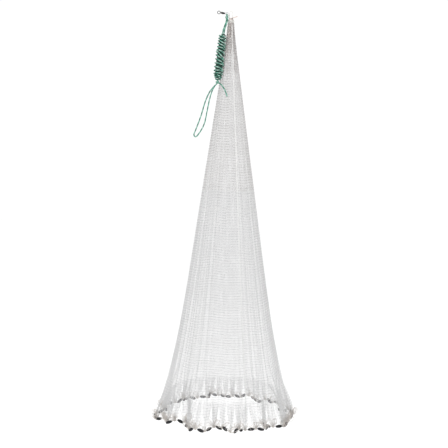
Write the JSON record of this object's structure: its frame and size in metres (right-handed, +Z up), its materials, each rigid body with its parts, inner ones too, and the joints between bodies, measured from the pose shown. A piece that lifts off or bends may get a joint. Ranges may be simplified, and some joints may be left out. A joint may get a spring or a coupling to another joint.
{
  "type": "cast net",
  "caption": "Hanging throw net: a tall translucent mesh cone with a weighted, turned-in hem, a barrel swivel at its head and a coiled hand rope with a wrist loop.",
  "frame": {"origin": "where the head loop bears on its peg", "axes": "+Z up along the hanging net, +X right and -Y towards the viewer as the net hangs"},
  "size_m": [0.6036, 0.6068, 1.7383],
  "materials": {
    "netting": "translucent nylon monofilament mesh",
    "lacing": "white nylon twine",
    "lead_line": "grey twisted nylon cord",
    "lead": "cast lead, dull grey",
    "white_cord": "braided white cord",
    "black_steel": "black nickel",
    "bright_steel": "bright wire",
    "green_rope": "green and white braided polyethylene rope"
  },
  "bodies": {
    "net": {"net_crown": "netting", "net_band": "netting", "net_skirt": "netting", "pocket_fold": "netting", "upper_join": "lacing", "lower_join": "lacing", "side_seam": "lacing", "tuck_strings": "lacing", "lead_line": "lead_line", "leads_right": "lead", "leads_back_right": "lead", "leads_back": "lead", "leads_back_left": "lead", "leads_left": "lead", "leads_front_left": "lead", "leads_front": "lead", "leads_front_right": "lead", "head_loop": "white_cord", "head_whipping": "white_cord", "seam_tail": "white_cord", "swivel_tie": "white_cord", "swivel_net_eye": "black_steel"},
    "barrel": {"swivel_barrel": "black_steel"},
    "rope_eye": {"swivel_rope_eye": "bright_steel"},
    "hand_line": {"eye_knot": "green_rope", "hand_rope": "green_rope", "rope_return": "green_rope", "rope_hank": "green_rope", "hank_knot": "green_rope", "wrist_loop": "green_rope", "rope_tail": "green_rope"}
  },
  "joints": [
    {"name": "barrel_spin", "type": "hinge", "parent": "net", "child": "barrel", "pos_m": [-0.035, 0, -0.007], "axis": [0.9903, 0, -0.1392], "continuous": true},
    {"name": "rope_eye_turn", "type": "hinge", "parent": "net", "child": "rope_eye", "pos_m": [-0.01846, 0, -0.00932], "axis": [-0.9903, 0, 0.1392], "range_deg": [0, 150]},
    {"name": "rope_swing", "type": "hinge", "parent": "rope_eye", "child": "hand_line", "pos_m": [-0.01846, 0, -0.00932], "axis": [0, 1, 0], "range_deg": [0, 35]}
  ]
}
